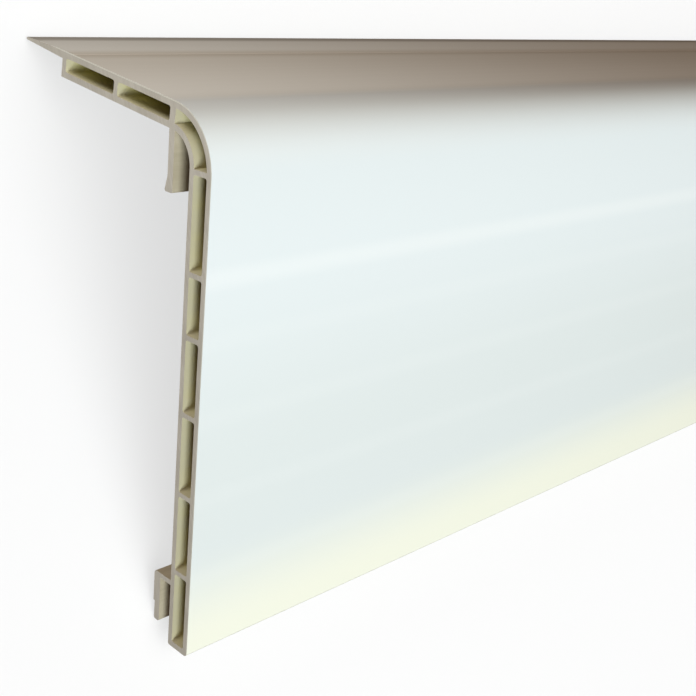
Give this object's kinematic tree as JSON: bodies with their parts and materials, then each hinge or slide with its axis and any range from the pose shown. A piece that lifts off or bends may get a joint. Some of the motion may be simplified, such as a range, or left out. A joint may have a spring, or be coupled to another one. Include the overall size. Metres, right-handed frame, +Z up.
{
  "type": "cover strip",
  "caption": "Hollow-chamber plastic cover strip: tall glossy wall, rounded top corner, rear flange with a thin sealing lip, and two clip legs behind.",
  "frame": {"origin": "centre of the strip's bounding box at floor level, as it lies on its lip and lower hook", "axes": "+X along the strip's length, +Y from the wall's bottom edge towards the sealing lip, +Z up, with the show face upward"},
  "size_m": [2, 0.129, 0.0498],
  "materials": {
    "strip_plastic": "smooth glossy near-white extruded PVC"
  },
  "bodies": {
    "root": {"cover_strip": "strip_plastic"}
  },
  "joints": []
}
